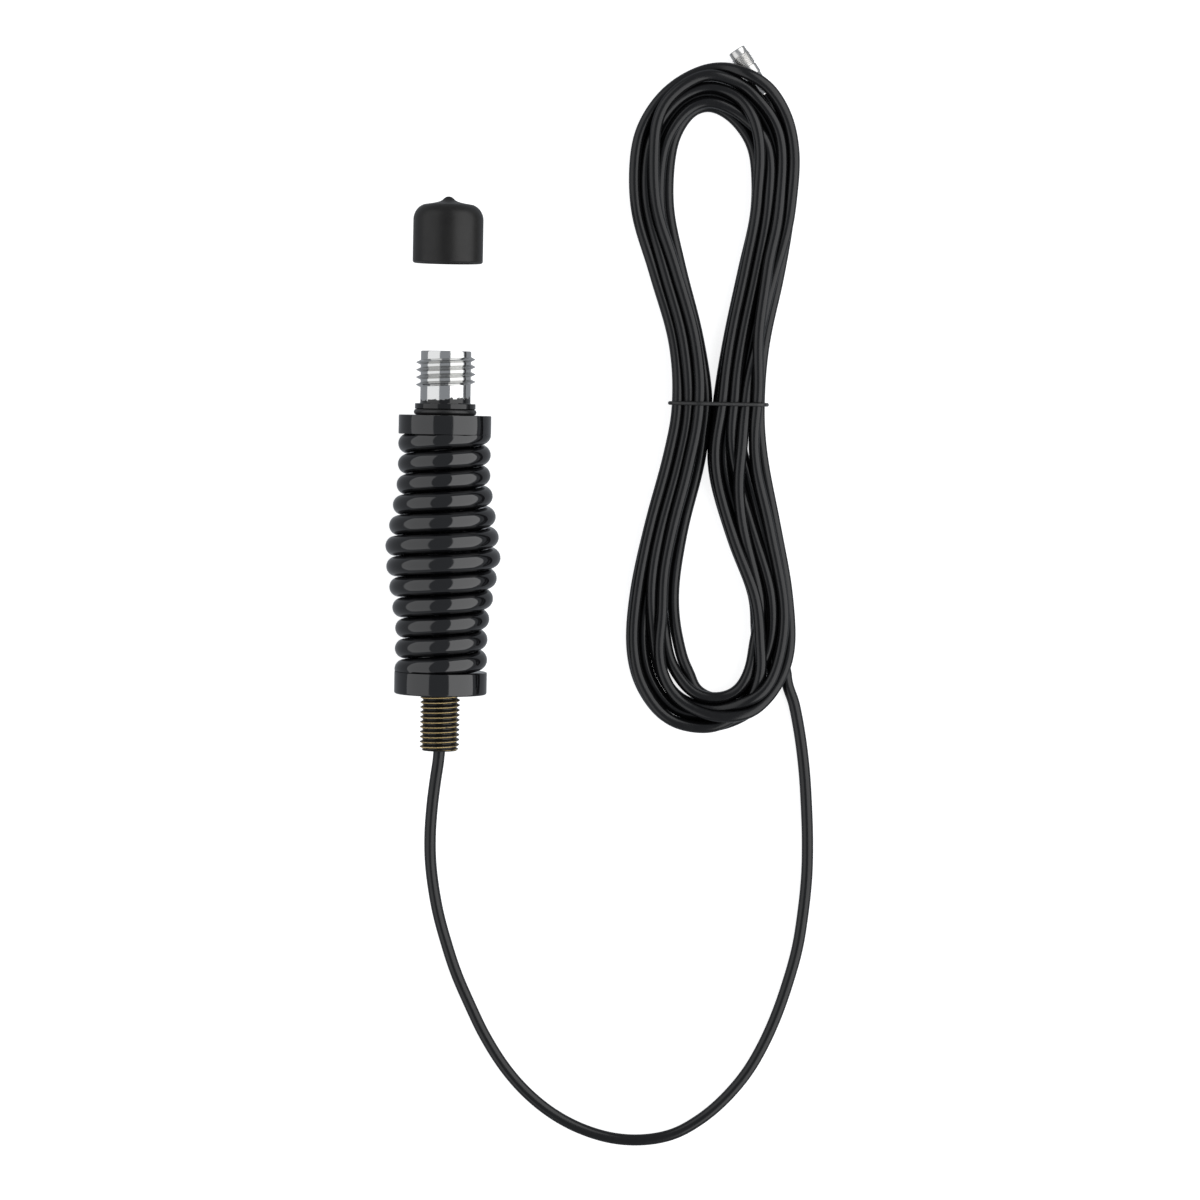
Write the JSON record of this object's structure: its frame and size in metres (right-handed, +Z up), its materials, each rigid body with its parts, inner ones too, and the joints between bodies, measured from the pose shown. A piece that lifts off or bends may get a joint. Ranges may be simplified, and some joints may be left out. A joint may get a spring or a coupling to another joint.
{
  "type": "omnidirectional antenna spring base",
  "caption": "Flexible spring base of an omnidirectional vehicle antenna, with a threaded whip ferrule, mounting stud, coaxial lead and end cap.",
  "frame": {"origin": "centre of the seating face on the mounting stud's axis", "axes": "+Y along the antenna from the stud to the whip thread, +Z up from the surface that the part lies on"},
  "size_m": [0.1769, 0.452, 0.0467],
  "materials": {
    "black_enamel": "gloss black enamel",
    "stud_metal": "blackened brass, worn to brass on the crests",
    "ferrule_metal": "bright turned metal, black paint on the flange",
    "ring_rubber": "smooth black rubber",
    "cap_vinyl": "matte dip-moulded vinyl",
    "jacket": "satin black PVC",
    "nylon": "natural nylon",
    "polyethylene": "natural polyethylene",
    "contact_brass": "gold-plated brass",
    "copper": "bare copper",
    "braid": "tinned copper braid",
    "nickel_plate": "nickel plate"
  },
  "bodies": {
    "base": {"bottom_collar": "black_enamel", "mounting_stud": "stud_metal", "cable_seal": "ring_rubber", "inner_coax": "jacket", "coax_lead": "jacket", "coax_hank": "jacket", "hank_tie": "ring_rubber", "connector_shell": "nickel_plate", "connector_insulator": "nylon", "connector_contact": "contact_brass", "connector_crimp": "nickel_plate"},
    "spring": {"barrel_spring": "black_enamel"},
    "head": {"top_collar": "black_enamel", "o_ring": "ring_rubber", "ferrule": "ferrule_metal", "insulator": "nylon", "centre_contact": "contact_brass", "braid_crimp": "nickel_plate", "coax_braid": "braid", "coax_dielectric": "polyethylene", "coax_conductor": "copper"},
    "cap": {"protective_cap": "cap_vinyl"}
  },
  "joints": [
    {"name": "spring_pitch", "type": "hinge", "parent": "base", "child": "spring", "pos_m": [0, 0.035, 0], "axis": [1, 0, 0], "range_deg": [-30, 30], "stiffness_Nm_per_rad": 30, "deforming": ["barrel_spring", "inner_coax"]},
    {"name": "spring_yaw", "type": "hinge", "parent": "spring", "child": "head", "pos_m": [0, 0.08, 0], "axis": [0, 0, 1], "range_deg": [-30, 30], "stiffness_Nm_per_rad": 30, "deforming": ["barrel_spring", "inner_coax"]},
    {"name": "cap_slide", "type": "slide", "parent": "head", "child": "cap", "axis": [0, -1, 0], "range_m": [0, 0.0562]}
  ]
}
